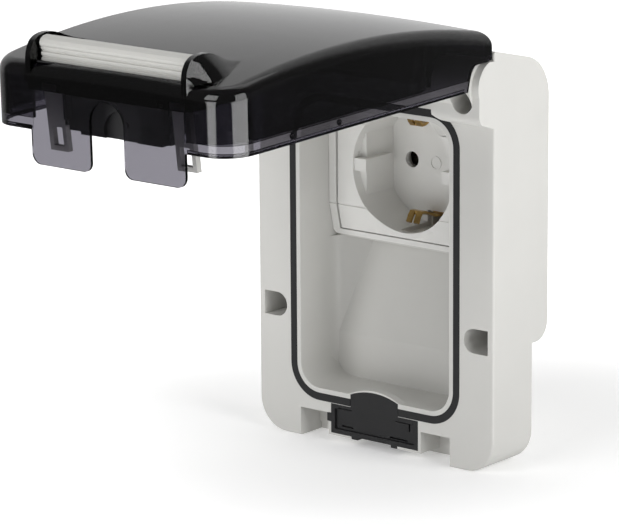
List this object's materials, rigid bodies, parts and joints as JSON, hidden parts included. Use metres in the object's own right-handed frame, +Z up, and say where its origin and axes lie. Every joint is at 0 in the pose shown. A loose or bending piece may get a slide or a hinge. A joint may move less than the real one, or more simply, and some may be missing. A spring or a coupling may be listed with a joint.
{
  "type": "weatherproof socket outlet",
  "caption": "Outdoor wall socket housing with an earthed socket insert and a hinged smoked clear lid with a latch, cable seals at its lower edge and a gasket round its pocket.",
  "frame": {"origin": "middle of the four wall screws, on the wall face", "axes": "+X to the right seen from the front, +Y into the wall, +Z up"},
  "size_m": [0.093, 0.1723, 0.1469],
  "materials": {
    "housing_plastic": "fine matte",
    "insert_plastic": "satin",
    "latch_plastic": "satin",
    "lid_clear": "smoked clear, glossy",
    "rubber": "soft matte",
    "steel": "zinc plated",
    "brass": "bright",
    "base_ceramic": "unglazed"
  },
  "bodies": {
    "base": {"housing": "housing_plastic", "front_gasket": "rubber", "wall_seal": "rubber", "lower_cable_seal": "rubber", "insert_frame": "insert_plastic", "centre_plate": "insert_plastic", "support_ring": "steel", "ring_screws": "steel", "base_rivets": "steel", "socket_base": "base_ceramic", "live_contact": "brass", "neutral_contact": "brass", "earth_strap": "brass", "terminal_screws": "steel", "terminal_clamps": "steel", "back_plate": "housing_plastic", "back_plate_screws": "steel", "hinge_pin_left": "steel", "hinge_pin_right": "steel"},
    "lid": {"lid": "lid_clear", "lid_cable_seal": "rubber", "latch_pin_left": "steel", "latch_pin_right": "steel"},
    "latch": {"latch": "latch_plastic"}
  },
  "joints": [
    {"name": "lid_hinge", "type": "hinge", "parent": "base", "child": "lid", "pos_m": [0, -0.02784, 0.04218], "axis": [1, 0, 0], "range_deg": [0, 88.5]},
    {"name": "latch_pivot", "type": "hinge", "parent": "lid", "child": "latch", "pos_m": [0, -0.14401, 0.06255], "axis": [1, 0, 0], "range_deg": [-3, 2.5]}
  ]
}
